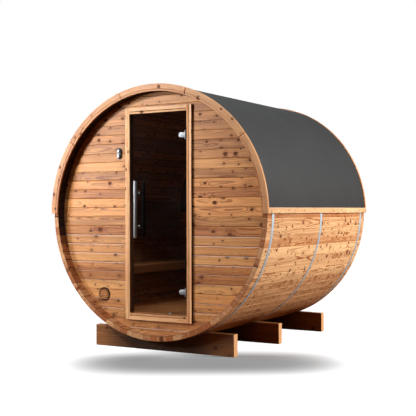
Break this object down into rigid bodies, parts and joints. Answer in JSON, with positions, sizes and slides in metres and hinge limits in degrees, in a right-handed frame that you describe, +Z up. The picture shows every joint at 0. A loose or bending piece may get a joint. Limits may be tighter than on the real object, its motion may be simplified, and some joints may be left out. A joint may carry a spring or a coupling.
{
  "type": "barrel sauna",
  "caption": "Round wooden cabin on timber cradles, with a recessed front wall, a hinged tinted glass door in a wooden frame, a slatted bench and a half-moon rear window.",
  "frame": {"origin": "on the ground under the middle of the barrel", "axes": "+Z up, the door side faces -Y, +X to the right of someone facing the door"},
  "size_m": [2.08, 2.03, 2.1558],
  "materials": {
    "shell_wood": "planed knotty softwood, heat-treated",
    "trim_wood": "planed softwood, oiled",
    "wall_wood": "planed knotty boards, heat-treated",
    "frame_wood": "planed softwood, oiled",
    "cradle_wood": "sawn softwood, dark",
    "floor_wood": "planed softwood boards",
    "bench_wood": "planed smooth softwood",
    "roof_felt": "matt mineral felt",
    "band_steel": "galvanised strip",
    "satin_steel": "satin",
    "tinted_glass": "bronze tinted, toughened",
    "black_plastic": "gloss",
    "knob_chrome": "polished"
  },
  "bodies": {
    "cabin": {"stave_panel_01": "shell_wood", "stave_panel_02": "shell_wood", "stave_panel_03": "shell_wood", "stave_panel_04": "shell_wood", "stave_panel_05": "shell_wood", "stave_panel_06": "shell_wood", "stave_panel_07": "shell_wood", "stave_panel_08": "shell_wood", "stave_panel_09": "shell_wood", "stave_panel_10": "shell_wood", "stave_panel_11": "shell_wood", "stave_panel_12": "shell_wood", "band_front": "band_steel", "band_middle": "band_steel", "band_rear": "band_steel", "roof_felt": "roof_felt", "batten_left": "trim_wood", "batten_right": "trim_wood", "front_arch": "trim_wood", "rear_arch": "trim_wood", "cradle_front": "cradle_wood", "cradle_middle": "cradle_wood", "cradle_rear": "cradle_wood", "front_wall_left": "wall_wood", "front_wall_right": "wall_wood", "front_wall_top": "wall_wood", "front_wall_bottom": "wall_wood", "rear_wall": "wall_wood", "window_frame": "trim_wood", "window_glass": "tinted_glass", "floor_deck": "floor_wood", "door_jamb_left": "frame_wood", "door_jamb_right": "frame_wood", "door_head": "frame_wood", "door_sill": "frame_wood", "hinge_upper_leaf": "satin_steel", "hinge_lower_leaf": "satin_steel", "vent_grille": "wall_wood", "switch_plate": "black_plastic", "switch_knobs": "knob_chrome", "bench_seat": "bench_wood", "bench_frame": "bench_wood", "backrest": "bench_wood"},
    "door": {"door_glass": "tinted_glass", "door_handle_outer": "satin_steel", "door_handle_inner": "satin_steel", "door_catch": "satin_steel", "hinge_upper_clamp": "satin_steel", "hinge_lower_clamp": "satin_steel"}
  },
  "joints": [
    {"name": "door_swing", "type": "hinge", "parent": "cabin", "child": "door", "pos_m": [0.269, -0.938, 1.116], "axis": [0, 0, 1], "range_deg": [0, 90]}
  ]
}
